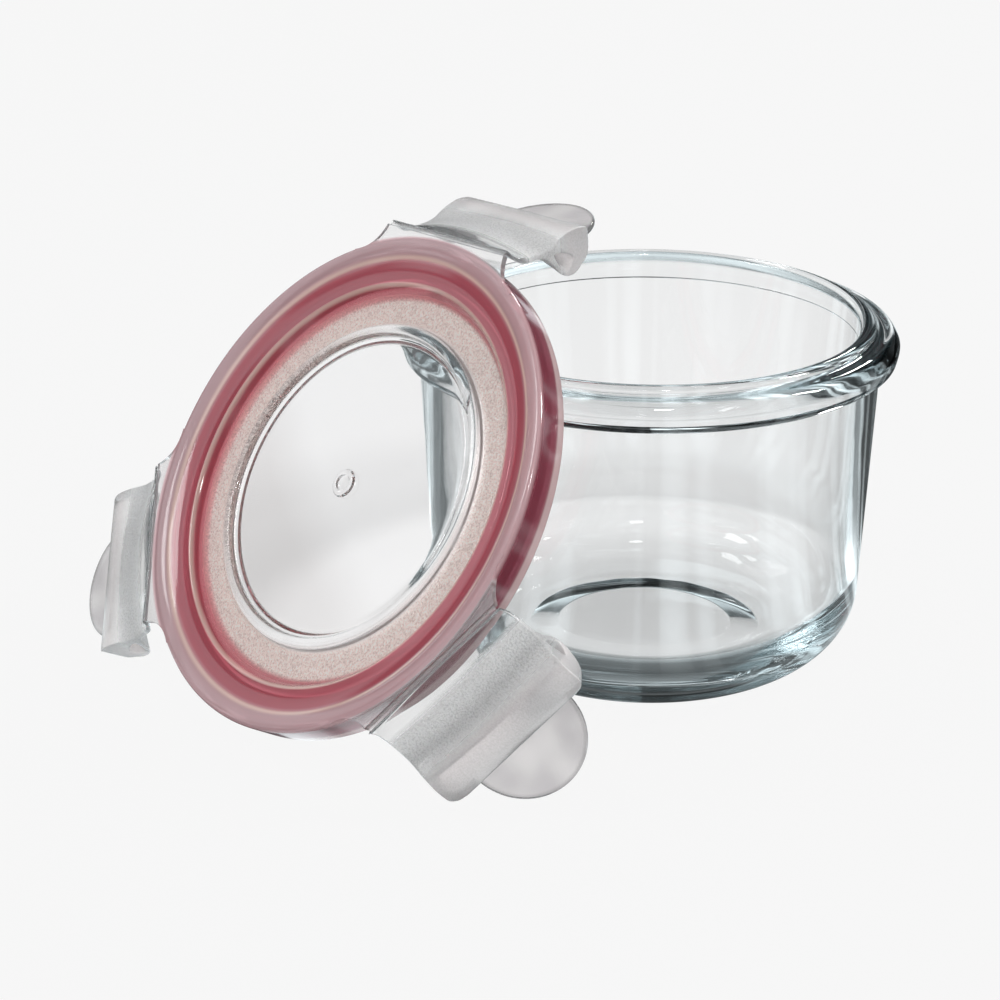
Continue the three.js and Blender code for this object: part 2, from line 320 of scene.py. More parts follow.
def arc(centre_x, centre_y, radius_x, radius_y, start, end, steps):
    """Points of an elliptical arc, angles in degrees."""
    angles = [math.radians(start + (end - start) * i / steps) for i in range(steps + 1)]
    return [(centre_x + radius_x * math.cos(a), centre_y + radius_y * math.sin(a)) for a in angles]


def filleted(corners, steps=5):
    """An open line through (x, y, rounding) corners, each eased by its rounding."""
    points = [corners[0][:2]]
    for before, corner, after in zip(corners, corners[1:], corners[2:]):
        vertex = Vector(corner[:2])
        if corner[2] <= 0:
            points.append(tuple(vertex))
            continue
        back, ahead = Vector(before[:2]) - vertex, Vector(after[:2]) - vertex
        start = vertex + back.normalized() * min(corner[2], back.length * 0.45)
        end = vertex + ahead.normalized() * min(corner[2], ahead.length * 0.45)
        for i in range(steps + 1):
            s = i / steps
            points.append(tuple(start * (1 - s) ** 2 + vertex * 2 * s * (1 - s) + end * s**2))
    points.append(corners[-1][:2])
    return points


def spline_value(a, b, c, d, t):
    """A value part t of the way from b to c, on the smooth line through a, b, c and d."""
    bend, twist = 2 * a - 5 * b + 4 * c - d, 3 * b - a - 3 * c + d
    return 0.5 * (2 * b + (c - a) * t + bend * t**2 + twist * t**3)


def closed_spline(points, steps):
    """A closed smooth loop through the points, any number of values each."""
    count = len(points)
    loop = []
    for i in range(count):
        near = [points[(i + k) % count] for k in (-1, 0, 1, 2)]
        for j in range(steps):
            loop.append([spline_value(*values, j / steps) for values in zip(*near)])
    return loop


def object_from(name, vertices, faces, sharp=32):
    """A mesh object from millimetre vertices, faces turned out, smooth but for edges over sharp degrees."""
    mesh = bpy.data.meshes.new(name)
    mesh.from_pydata([[value * MM for value in vertex] for vertex in vertices], [], faces)
    working = bmesh.new()
    working.from_mesh(mesh)
    bmesh.ops.remove_doubles(working, verts=working.verts, dist=1e-7)
    bmesh.ops.recalc_face_normals(working, faces=working.faces)
    working.to_mesh(mesh)
    working.free()
    finish_shading(mesh, sharp)
    piece = bpy.data.objects.new(name, mesh)
    bpy.context.scene.collection.objects.link(piece)
    return piece


def settle(piece, matrix):
    """Moves the mesh to its place, and keeps each point's own coordinates, in mm, for the material."""
    mesh = piece.data
    own = mesh.attributes.new("own_place", "FLOAT_VECTOR", "POINT")
    own.data.foreach_set("vector", [value / MM for vertex in mesh.vertices for value in vertex.co])
    mesh.transform(matrix)


def finish_shading(mesh, sharp):
    """Smooth shading, but for edges over sharp degrees."""
    mesh.shade_smooth()
    mesh.set_sharp_from_angle(angle=math.radians(sharp))


def revolve(name, profile, segments, closed=False, sharp=32):
    """A profile of (r, h) turned about z. A profile that isn't closed starts and ends on the axis."""
    vertices, rings = [], []
    for radius, height in profile:
        if radius < 1e-6:
            rings.append([len(vertices)] * segments)
            vertices.append((0, 0, height))
            continue
        rings.append(list(range(len(vertices), len(vertices) + segments)))
        for i in range(segments):
            angle = 2 * math.pi * i / segments
            vertices.append((radius * math.cos(angle), radius * math.sin(angle), height))
    pairs = list(zip(rings, rings[1:]))
    if closed:
        pairs.append((rings[-1], rings[0]))
    faces = []
    for low, high in pairs:
        for i in range(segments):
            j = (i + 1) % segments
            face = list(dict.fromkeys([low[i], low[j], high[j], high[i]]))
            if len(face) > 2:
                faces.append(face)
    return object_from(name, vertices, faces, sharp)


def combined(base, tool, operation, sharp=32):
    """base joined with or cut by tool, which is used up."""
    modifier = base.modifiers.new("combine", "BOOLEAN")
    modifier.operation = operation
    modifier.object = tool
    modifier.solver = "EXACT"
    evaluated = base.evaluated_get(bpy.context.evaluated_depsgraph_get())
    mesh = bpy.data.meshes.new_from_object(evaluated)
    base.modifiers.clear()
    base.data = mesh
    bpy.data.objects.remove(tool)
    finish_shading(mesh, sharp)
    return base


# ---- bowl ----


def bowl_profile():
    """(r, h) from the middle of the base, up the outside, over the rim and down the inside."""
    foot_radius = WALL_RADIUS_LOW - CORNER_WIDTH
    rim_centre = NECK_RADIUS - RIM_ROUNDING
    rim_top = BOWL_HEIGHT - RIM_ROUNDING
    inner_low = WALL_RADIUS_LOW - GLASS_WALL
    rim_inner = NECK_RADIUS - GLASS_WALL
    inner_corner_top = GLASS_FLOOR + INNER_CORNER_HEIGHT
    base = filleted(
        [
            (0, BASE_DISH_DEPTH, 0),
            (BASE_DISH_RADIUS - BASE_DISH_EDGE, BASE_DISH_DEPTH, 0.3),
            (BASE_DISH_RADIUS, 0, 0.3),
            (foot_radius, 0, 0),
        ]
    )
    outside = arc(foot_radius, CORNER_HEIGHT, CORNER_WIDTH, CORNER_HEIGHT, -90, 0, 28)[1:]
    bead_low, bead_high = BEAD_MID_HEIGHT - BEAD_SECTION, BEAD_MID_HEIGHT + BEAD_SECTION
    bead = filleted(
        [
            (*outside[-1], 0),
            (WALL_RADIUS_TOP, bead_low + 1.3, BEAD_JUNCTION),
            (BEAD_RADIUS - 0.6, bead_low, 0.6),
            (BEAD_RADIUS, BEAD_MID_HEIGHT - 0.8, 1.2),
            (BEAD_RADIUS, BEAD_MID_HEIGHT + 0.4, 1.2),
            (BEAD_RADIUS - 1.6, bead_high - 0.2, 1.8),
            (NECK_RADIUS + 0.6, bead_high, 1.2),
            (NECK_RADIUS, bead_high + 0.5, 0.5),
            (NECK_RADIUS, rim_top, 0),
        ],
        steps=8,
    )[1:-1]
    rim = arc(rim_centre, rim_top, RIM_ROUNDING, RIM_ROUNDING, 0, 180, 16)
    inner_wall = [(rim_inner, rim_top), (rim_inner - 0.3, rim_top - 6)]
    corner = arc(
        inner_low - INNER_CORNER_WIDTH, inner_corner_top, INNER_CORNER_WIDTH, INNER_CORNER_HEIGHT, 0, -90, 26
    )
    return base + outside + bead + rim + inner_wall + corner + [(0, GLASS_FLOOR)]


# ---- lid ----


def window_h(radius):
    """Height of the window's surface: a shallow dome."""
    return WINDOW_EDGE_H + WINDOW_DOME * (1 - (radius / WINDOW_RADIUS) ** 2)


def lid_profile():
    """(r, h) from the axis out along the underside, down and up the skirt, and back over the top."""
    skirt_inner = LID_RADIUS - SKIRT_WALL
    gate_top = window_h(0) + GATE_HEIGHT
    dome = range(30, 2, -3)
    below = [(r, window_h(r) - WINDOW_THICKNESS, 0) for r in reversed(dome)]
    above = [(r, window_h(r), 0) for r in dome]
    return filleted(
        [
            (0, window_h(0) - WINDOW_THICKNESS, 0),
            *below,
            (31.4, window_h(31) - WINDOW_THICKNESS, 0.6),
            (32.2, -5.8, 0.4),
            (36, -6.1, 1),
            (42.6, -6.4, 0.4),
            (43.5, -5.9, 0.5),
            (44.5, -3.8, 0.5),
            (46.5, -3.4, 0.5),
            (49.5, -2.7, 0.5),
            (skirt_inner - 0.2, -2.6, 0.3),
            (skirt_inner - 0.05, -3.2, 0.2),
            (skirt_inner - 0.15, -SKIRT_DEPTH + 0.6, 0.4),
            (skirt_inner + 0.3, -SKIRT_DEPTH, 0.35),
            (LID_RADIUS - 0.55, -SKIRT_DEPTH, 0.4),
            (LID_RADIUS - 0.45, -SKIRT_DEPTH + 0.9, 0.4),
            (LID_RADIUS, -0.6, 0.8),
            (LID_RADIUS - 0.9, 0, 0.8),
            (50.6, -0.25, 0.9),
            (49.1, -1.15, 0.9),
            (46.4, -1.95, 1.2),
            (43.9, -1.65, 0.35),
            (43.2, -2.3, 0.4),
            (42.1, -4.5, 0.7),
            (41, -5, 0.6),
            (36.4, -4.75, 0.5),
            (35.6, -4.4, 0.35),
            (35.3, -3, 0.5),
            (34.3, -2.6, 0.5),
            (33.2, -2.8, 0.4),
            (WINDOW_RADIUS, WINDOW_EDGE_H, 0.4),
            *above,
            (GATE_RADIUS + 0.3, window_h(GATE_RADIUS), 0.15),
            (GATE_RADIUS - 0.1, gate_top, 0.25),
            (GATE_RADIUS - 0.9, gate_top, 0.25),
            (GATE_RADIUS - 1.3, gate_top - 0.4, 0.25),
            (0, gate_top - 0.4, 0),
        ]
    )


def prism(name, outline, bottom, top, sharp=32):
    """A closed plate with the given outline between two heights."""
    count = len(outline)
    vertices = [(x, y, z) for z in (bottom, top) for x, y in outline]
    faces = [list(range(count)), list(range(count, 2 * count))]
    faces += [[i, (i + 1) % count, count + (i + 1) % count, count + i] for i in range(count)]
    return object_from(name, vertices, faces, sharp)


def hinge_flange(turn):
    """The ear outside the skirt that carries one hinge, turned to its place round the lid."""
    inner = LID_RADIUS - 0.9
    outer = HINGE_RADIUS - HINGE_GAP
    blend = math.radians(FLANGE_BLEND_ANGLE)
    foot = (inner * math.cos(blend), inner * math.sin(blend))
    bend = (foot[0] + 2.2, LATCH_HALF_WIDTH + 0.8)
    ease = [(outer, LATCH_HALF_WIDTH), bend, (foot[0] + 0.5, foot[1] + 0.3)]
    side = []
    for i in range(9):
        s = i / 8
        weights = ((1 - s) ** 2, 2 * s * (1 - s), s**2)
        side.append(tuple(sum(w * p[k] for w, p in zip(weights, ease)) for k in (0, 1)))
    rim = arc(0, 0, inner, inner, FLANGE_BLEND_ANGLE, -FLANGE_BLEND_ANGLE, 20)
    outline = side + rim + [(x, -y) for x, y in reversed(side)]
    flange = prism("flange", outline, FLANGE_TOP_H - FLANGE_THICKNESS, FLANGE_TOP_H)
    flange.data.transform(Matrix.Rotation(turn, 4, "Z"))
    return flange


def make_lid():
    """The lid in its own axes, with a flange for each hinge."""
    lid = revolve("lid_shell", lid_profile(), 240)
    for i in range(len(PLACES)):
        lid = combined(lid, hinge_flange(2 * math.pi * i / len(PLACES)), "UNION")
    return lid


def seal_profile():
    """(r, h) round the ring's section, whose top rises outwards under the channel's roof."""
    corners = [
        (SEAL_INNER_RADIUS, -4.3, 0),
        (SEAL_INNER_RADIUS, SEAL_BOTTOM_H + 0.1, 0.5),
        (46, SEAL_BOTTOM_H, 0.3),
        (48.4, SEAL_BOTTOM_H + 0.35, 0.8),
        (SEAL_OUTER_RADIUS - 0.2, SEAL_BOTTOM_H + 0.1, 0.6),
        (SEAL_OUTER_RADIUS, SEAL_TOP_H - 0.1, 0.4),
        (49.6, SEAL_TOP_H - 0.05, 0.5),
        (46.4, SEAL_TOP_H - 0.75, 0.5),
        (SEAL_INNER_RADIUS, -4.1, 0.1),
        (SEAL_INNER_RADIUS, -4.2, 0),
    ]
    return filleted(corners)


# ---- latches ----


def corner_limit(across):
    """How far the plate reaches at a place across the latch, with its two outer corners rounded in plan."""
    inside = max(0, abs(across) - LATCH_HALF_WIDTH + LATCH_CORNER)
    return LATCH_LENGTH - LATCH_CORNER + math.sqrt(max(0, LATCH_CORNER**2 - inside**2))


def latch_stations():
    """(place across, inset) pairs: close together round the corners and along the rounded end faces."""
    rounding = LATCH_END_ROUNDING
    ends = [(LATCH_HALF_WIDTH - rounding * (1 - math.sin(a)), rounding * (1 - math.cos(a)))
            for a in (math.radians(15 * i) for i in range(7))]
    corner = [LATCH_HALF_WIDTH - LATCH_CORNER + (LATCH_CORNER - rounding) * math.sin(math.radians(15 * i))
              for i in range(6)]
    half = LATCH_HALF_WIDTH - LATCH_CORNER
    middle = [half * (i / 9 * 2 - 1) for i in range(1, 9)]
    positive = [(y, 0) for y in corner] + ends
    return [(-y, inset) for y, inset in reversed(positive)] + [(y, 0) for y in middle] + positive


def inset_loop(loop, amount):
    """A 2D loop moved in by an amount along its normals, for a loop that runs clockwise."""
    if amount == 0:
        return loop
    moved = []
    for i, (x, y) in enumerate(loop):
        ahead, behind = loop[(i + 1) % len(loop)], loop[i - 1]
        tangent = Vector((ahead[0] - behind[0], ahead[1] - behind[1]))
        if tangent.length > 0:
            tangent.normalize()
        moved.append((x + tangent.y * amount, y - tangent.x * amount))
    return moved


def latch_body():
    """The S-shaped plate and its hollow hook, swept across the latch and crowned to follow the bowl."""
    outer = closed_spline(LATCH_SECTION, 4)
    inner = closed_spline(HOOK_HOLLOW, 6)
    vertices, faces, loops = [], [], []
    for across, inset in latch_stations():
        share = min(1, (across / LATCH_HALF_WIDTH) ** 2)
        limit = corner_limit(across)
        for section, sign in ((outer, 1), (inner, -1)):
            flat = [(u, middle + (end - middle) * share) for u, end, middle in section]
            shifted = inset_loop(flat, inset * sign)
            loops.append(range(len(vertices), len(vertices) + len(shifted)))
            vertices += [(min(u, limit), across, v) for u, v in shifted]
    for first, second in zip(loops, loops[2:]):
        count = len(first)
        for i in range(count):
            j = (i + 1) % count
            faces.append([first[i], first[j], second[j], second[i]])
    for rim, hole in ((loops[0], loops[1]), (loops[-2], loops[-1])):
        corners = [[Vector((vertices[k][0], vertices[k][2], 0)) for k in loop] for loop in (rim, hole)]
        ids = list(rim) + list(hole)
        faces += [[ids[k] for k in triangle] for triangle in tessellate_polygon(corners)]
    return object_from("latch_body", vertices, faces, 30)


def tab():
    """The half-round finger tab, a plate with a rounded edge that grows from the hook's outer wall."""
    reach = TAB_CENTRE_U - TAB_ROOT_U
    half = TAB_THICKNESS / 2
    layers = []
    for degrees in range(-90, 91, 15):
        angle = math.radians(degrees)
        radius = TAB_RADIUS - half * 0.8 * (1 - math.cos(angle))
        round_end = [(reach + x, y) for x, y in arc(0, 0, radius, radius, -90, 90, 36)]
        layers.append(([(0, -radius), *round_end, (0, radius)], half * math.sin(angle)))
    count = len(layers[0][0])
    vertices = [(x, y, z) for outline, z in layers for x, y in outline]
    faces = [list(range(count)), list(range(len(vertices) - count, len(vertices)))]
    for layer in range(len(layers) - 1):
        for i in range(count):
            j = (i + 1) % count
            base = layer * count
            faces.append([base + i, base + j, base + count + j, base + count + i])
    piece = object_from("tab", vertices, faces, 30)
    place = Matrix.Translation(Vector((TAB_ROOT_U, 0, TAB_ROOT_V)) * MM)
    piece.data.transform(place @ Matrix.Rotation(-math.radians(TAB_TILT), 4, "Y"))
    return piece


def film(place):
    """The thin web that joins the lid's flange to a latch, in place, with the two ends of its middle line."""
    seat, latch = hinge_frame(place), latch_frame(place)
    half = LATCH_HALF_WIDTH - FILM_INSET
    start = seat @ (Vector((-HINGE_GAP - FILM_OVERLAP, 0, FILM_SEAT_H)) * MM)
    end = latch @ (Vector((HINGE_GAP + FILM_OVERLAP, 0, FILM_LATCH_H)) * MM)
    leave = seat @ (Vector((0, 0, FILM_MIDDLE_H)) * MM)
    steps = 8
    vertices, faces = [], []
    along = seat.col[1].to_3d()
    for i in range(steps + 1):
        s = i / steps
        centre = start * (1 - s) ** 2 + leave * 2 * s * (1 - s) + end * s**2
        heading = (leave - start) * (1 - s) + (end - leave) * s
        up = heading.cross(along).normalized() * FILM_THICKNESS * MM / 2
        for side in (-1, 1):
            for face in (-1, 1):
                vertices.append((centre + along * side * half * MM + up * face) / MM)
    for i in range(steps):
        a = 4 * i
        for p, q in ((0, 1), (1, 3), (3, 2), (2, 0)):
            faces.append([a + p, a + q, a + 4 + q, a + 4 + p])
    faces += [[0, 1, 3, 2], [4 * steps + k for k in (0, 1, 3, 2)]]
    strip = object_from(f"film_{place}", vertices, faces, 50)
    return strip, start, end


# ---- materials ----


class Nodes:
    """A node tree and short ways to add nodes to it."""

    def __init__(self, tree):
        self.tree = tree

    def node(self, kind, **settings):
        node = self.tree.nodes.new(kind)
        for name, value in settings.items():
            setattr(node, name, value)
        return node

    def link(self, source, target):
        self.tree.links.new(source, target)

    def math(self, operation, first, second=0.0):
        node = self.node("ShaderNodeMath", operation=operation)
        for socket, value in zip(node.inputs, (first, second)):
            if isinstance(value, (int, float)):
                socket.default_value = value
            else:
                self.link(value, socket)
        return node.outputs[0]

    def length(self, first, second):
        """The length of the arrow with these two sides."""
        squares = (self.math("MULTIPLY", side, side) for side in (first, second))
        return self.math("SQRT", self.math("ADD", *squares))

    def ramp(self, value, low, high, stops, smooth=False):
        """A ramp over value from low to high, whose stops are (value, number or colour)."""
        shift = self.node("ShaderNodeMapRange")
        shift.inputs["From Min"].default_value = low
        shift.inputs["From Max"].default_value = high
        self.link(value, shift.inputs["Value"])
        ramp = self.node("ShaderNodeValToRGB")
        ramp.color_ramp.interpolation = "EASE" if smooth else "LINEAR"
        elements = ramp.color_ramp.elements
        while len(elements) > 1:
            elements.remove(elements[-1])
        for i, (at, shade) in enumerate(stops):
            position = (at - low) / (high - low)
            element = elements[0] if i == 0 else elements.new(position)
            element.position = position
            colour = (shade,) * 3 if isinstance(shade, (int, float)) else shade
            element.color = (*colour, 1)
        self.link(shift.outputs[0], ramp.inputs[0])
        return ramp.outputs[0]

    def mixed(self, share, first, second):
        """A colour between first and second by share."""
        mix = self.node("ShaderNodeMix", data_type="RGBA")
        self.link(share, mix.inputs["Factor"])
        self.link(first, mix.inputs[6])
        self.link(second, mix.inputs[7])
        return mix.outputs[2]

    def scaled(self, colour, factor):
        """A colour times a number or another colour."""
        scale = self.node("ShaderNodeVectorMath", operation="MULTIPLY")
        self.link(colour, scale.inputs[0])
        if isinstance(factor, tuple):
            scale.inputs[1].default_value = factor
        else:
            self.link(factor, scale.inputs[1])
        return scale.outputs[0]

    def chosen(self, share, first, second):
        """A number between first and second by share."""
        mix = self.node("ShaderNodeMix", data_type="FLOAT", clamp_factor=True)
        for name, value in (("Factor", share), ("A", first), ("B", second)):
            if isinstance(value, (int, float)):
                mix.inputs[name].default_value = value
            else:
                self.link(value, mix.inputs[name])
        return mix.outputs["Result"]

    def strips(self, x, y):
        """Light and dark bands round the room, a broad set and a narrow one."""
        azimuth = self.math("ARCTAN2", x, y)
        broad, narrow = (self.math("SINE", self.math("MULTIPLY", azimuth, count)) for count in STRIP_COUNTS)
        both = self.math("ADD", broad, self.math("MULTIPLY", narrow, NARROW_SHARE))
        return self.ramp(both, -1 - NARROW_SHARE, 1 + NARROW_SHARE, STRIPS)

    def straight_or_else(self, plain, through, other):
        """plain where seen directly, through where clear material is in front, other in reflections."""
        path = self.node("ShaderNodeLightPath")
        straight = self.chosen(path.outputs["Is Camera Ray"], through, plain)
        lit = self.chosen(path.outputs["Diffuse Depth"], straight, DIFFUSE_LIGHT)
        mirrored = self.math("MINIMUM", path.outputs["Glossy Depth"], 1.0)
        return self.mixed(mirrored, lit, self.scaled(other, COOL))


class Shader(Nodes):
    """A material, with textures in the piece's own millimetres."""

    def __init__(self, name):
        self.material = bpy.data.materials.new(name)
        self.material.use_nodes = True
        super().__init__(self.material.node_tree)
        self.surface = self.tree.nodes["Principled BSDF"]
        self.output = self.tree.nodes["Material Output"]

    def set(self, **values):
        """Values that are the same all over the surface, set on the shader's own sockets."""
        for name, value in values.items():
            self.surface.inputs[name.replace("_", " ")].default_value = value

    def feed(self, source, name):
        self.link(source, self.surface.inputs[name])

    def place(self):
        """The piece's own coordinates, as three separate values in millimetres."""
        own = self.node("ShaderNodeAttribute", attribute_name="own_place")
        separate = self.node("ShaderNodeSeparateXYZ")
        self.link(own.outputs["Vector"], separate.inputs[0])
        self.millimetres = own.outputs["Vector"]
        return separate.outputs

    def noise(self, size, detail=2.0, roughness=0.5):
        """Noise whose features are about size millimetres across."""
        noise = self.node("ShaderNodeTexNoise")
        noise.inputs["Scale"].default_value = 1 / size
        noise.inputs["Detail"].default_value = detail
        noise.inputs["Roughness"].default_value = roughness
        self.link(self.millimetres, noise.inputs["Vector"])
        return noise.outputs[0]

    def bump(self, height, strength, distance, after=None):
        """A normal bent by a height that spans distance millimetres, on top of another normal if given."""
        bump = self.node("ShaderNodeBump")
        bump.inputs["Distance"].default_value = distance * MM
        if isinstance(strength, (int, float)):
            bump.inputs["Strength"].default_value = strength
        else:
            self.link(strength, bump.inputs["Strength"])
        self.link(height, bump.inputs["Height"])
        if after is not None:
            self.link(after, bump.inputs["Normal"])
        return bump.outputs[0]

    def tint(self, colour, density):
        """Colour that the depth of the material adds."""
        absorb = self.node("ShaderNodeVolumeAbsorption")
        absorb.inputs["Color"].default_value = (*colour, 1)
        absorb.inputs["Density"].default_value = density
        self.link(absorb.outputs[0], self.output.inputs["Volume"])


def glass_material():
    """Clear pressed glass: faint waves in the surface and a blue-green tint where it is thick."""
    glass = Shader("pressed_glass")
    glass.place()
    glass.set(Base_Color=(1, 1, 1, 1), IOR=GLASS_IOR, Transmission_Weight=1.0)
    waves = glass.noise(9, detail=1.0)
    glass.feed(glass.bump(waves, strength=0.25, distance=0.12), "Normal")
    cloud = glass.noise(14, detail=2.0)
    glass.feed(glass.ramp(cloud, 0.3, 0.8, [(0.3, 0.0), (0.8, 0.004)]), "Roughness")
    glass.tint(GLASS_TINT, GLASS_TINT_DENSITY)
    return glass.material


def lid_material():
    """Natural polypropylene: milky, with the seal's red as seen through it painted in as pink and crimson,
    painted highlight lines on two edges, clear in the window, grained in the recess.
    """
    lid = Shader("lid_polypropylene")
    x, y, z = lid.place()
    radius = lid.length(x, y)
    lid.set(IOR=PLASTIC_IOR)
    # colour by radius and on the skirt: the seal's red painted in, and painted highlight lines on the groove's
    # edges
    top = lid.ramp(radius, 0, LID_REACH, LID_COLOUR)
    grain = lid.noise(0.42, detail=2.0, roughness=0.6)
    speckle = lid.ramp(grain, 0.3, 0.7, [(0.34, 0.72), (0.66, 1.32)])
    skirt = lid.ramp(z, -9, 1, SKIRT_COLOUR)
    on_skirt = lid.ramp(radius, 0, LID_REACH, SKIRT_ZONE)
    grain_mask = lid.ramp(radius, 0, LID_REACH, LID_GRAIN_ZONE)
    plain = lid.mixed(on_skirt, top, skirt)
    lid.feed(lid.mixed(grain_mask, plain, lid.scaled(plain, speckle)), "Base Color")
    lid.feed(lid.ramp(radius, 0, LID_REACH, LID_CLARITY), "Transmission Weight")
    haze = lid.math("MULTIPLY", lid.noise(6, detail=2.0), 0.05)
    lid.feed(lid.math("ADD", lid.ramp(radius, 0, LID_REACH, LID_ROUGHNESS), haze), "Roughness")
    soft = lid.bump(lid.noise(12, detail=1.0), strength=0.2, distance=0.1)
    lid.feed(lid.bump(grain, strength=grain_mask, distance=0.45, after=soft), "Normal")
    return lid.material


def latch_material():
    """The latches' polypropylene: clear by the hinge, grained across the plate, smooth on hook and tab, with
    painted shade on the tab in grey patches and towards its edge.
    """
    latch = Shader("latch_polypropylene")
    x, y, _ = latch.place()
    latch.set(IOR=PLASTIC_IOR)
    plain = latch.ramp(x, 0, LATCH_REACH, LATCH_COLOUR)
    grain = latch.noise(0.4, detail=2.0, roughness=0.6)
    grain_mask = latch.ramp(x, 0, LATCH_REACH, LATCH_GRAIN_ZONE)
    speckle = latch.ramp(grain, 0.3, 0.7, [(0.32, 0.78), (0.68, 1.2)])
    grained = latch.mixed(grain_mask, plain, latch.scaled(plain, speckle))
    reach = latch.length(latch.math("SUBTRACT", x, TAB_CENTRE_U), y)
    # painted shade: the tab darkens towards its edge
    rim = latch.ramp(reach, 0, 20, TAB_EDGE_PAINTED_SHADE)
    # painted shade on the tab: grey in random patches
    cloud = latch.ramp(latch.noise(11, detail=1.0), 0.35, 0.65, [(0.35, TAB_PALE), (0.65, TAB_PAINTED_SHADE_GREY)], smooth=True)
    on_tab = latch.ramp(x, 0, LATCH_REACH, TAB_ZONE)
    tab_colour = latch.scaled(latch.scaled(plain, cloud), rim)
    latch.feed(latch.mixed(on_tab, grained, tab_colour), "Base Color")
    latch.feed(latch.ramp(x, 0, LATCH_REACH, LATCH_CLARITY), "Transmission Weight")
    haze = latch.math("MULTIPLY", latch.noise(5, detail=2.0), 0.05)
    latch.feed(latch.math("ADD", latch.ramp(x, 0, LATCH_REACH, LATCH_ROUGHNESS), haze), "Roughness")
    soft = latch.bump(latch.noise(10, detail=1.0), strength=0.2, distance=0.1)
    latch.feed(latch.bump(grain, strength=grain_mask, distance=0.3, after=soft), "Normal")
    return latch.material


def film_material():
    """The bent web of a living hinge, clearer than the plastic on either side of it."""
    web = Shader("hinge_web")
    web.place()
    web.set(Base_Color=(0.95, 0.94, 0.94, 1), IOR=PLASTIC_IOR, Transmission_Weight=0.85)
    web.feed(web.ramp(web.noise(3, detail=2.0), 0.2, 0.8, [(0.2, 0.1), (0.8, 0.25)]), "Roughness")
    web.feed(web.bump(web.noise(1.2, detail=2.0), strength=0.3, distance=0.05), "Normal")
    return web.material


def seal_material():
    """Red silicone, satin, with a little light let through."""
    seal = Shader("red_silicone")
    seal.place()
    seal.set(
        IOR=SILICONE_IOR, Subsurface_Weight=0.25, Subsurface_Scale=0.002, Subsurface_Radius=(1.0, 0.25, 0.2)
    )
    mottle = seal.noise(8, detail=3.0)
    seal.feed(seal.ramp(mottle, 0.25, 0.8, [(0.25, SEAL_DEEP), (0.8, SEAL_BRIGHT)]), "Base Color")
    seal.feed(seal.ramp(seal.noise(2, detail=2.0), 0.2, 0.8, [(0.2, 0.38), (0.8, 0.5)]), "Roughness")
    seal.feed(seal.bump(seal.noise(0.8, detail=2.0), strength=0.25, distance=0.04), "Normal")
    return seal.material


# ---- assembly ----


def dress(piece, material, slot, body, *nodes):
    """Gives a piece its material, hides the CAD nodes it stands for and attaches it to the body it moves with, if
    any; slot is not used.
    """
    piece.data.materials.clear()
    piece.data.materials.append(material)
    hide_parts(*nodes)
    if body is not None:
        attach(piece, body)


def make_object():
    """Every piece, with its material, on its body where it has one."""
    bowl = revolve("glass_bowl", bowl_profile(), 256)
    settle(bowl, Matrix.Identity(4))
    dress(bowl, glass_material(), "glass", "bowl", "bowl")

    lid = make_lid()
    settle(lid, lid_frame())
    dress(lid, lid_material(), "lid_plastic", "lid", "lid")

    seal = revolve("seal_ring", seal_profile(), 200, closed=True)
    settle(seal, lid_frame())
    dress(seal, seal_material(), "seal_silicone", "lid", "seal")

    plate = combined(latch_body(), tab(), "UNION", 30)
    plastic, web = latch_material(), film_material()
    for place in PLACES:
        latch = plate.copy()
        latch.data = plate.data.copy()
        latch.name = f"latch_plate_{place}"
        bpy.context.scene.collection.objects.link(latch)
        settle(latch, latch_frame(place))
        dress(latch, plastic, "latch_plastic", f"latch_{place}", f"latch_{place}")
        strip, start, end = film(place)
        settle(strip, Matrix.Identity(4))
        dress(strip, web, "lid_plastic", None, f"hinge_film_{place}")
        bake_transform(strip)
    bpy.data.objects.remove(plate)


# ---- studio ----


def softbox(name, place, size, power):
    """A rectangular lamp aimed at the object."""
    data = bpy.data.lights.new(name, "AREA")
    data.shape = "RECTANGLE"
    data.size, data.size_y = size
    data.energy = power
    lamp = bpy.data.objects.new(name, data)
    lamp.location = place
    lamp.rotation_euler = (Vector(SUBJECT) - Vector(place)).to_track_quat("-Z", "Y").to_euler()
    bpy.context.scene.collection.objects.link(lamp)


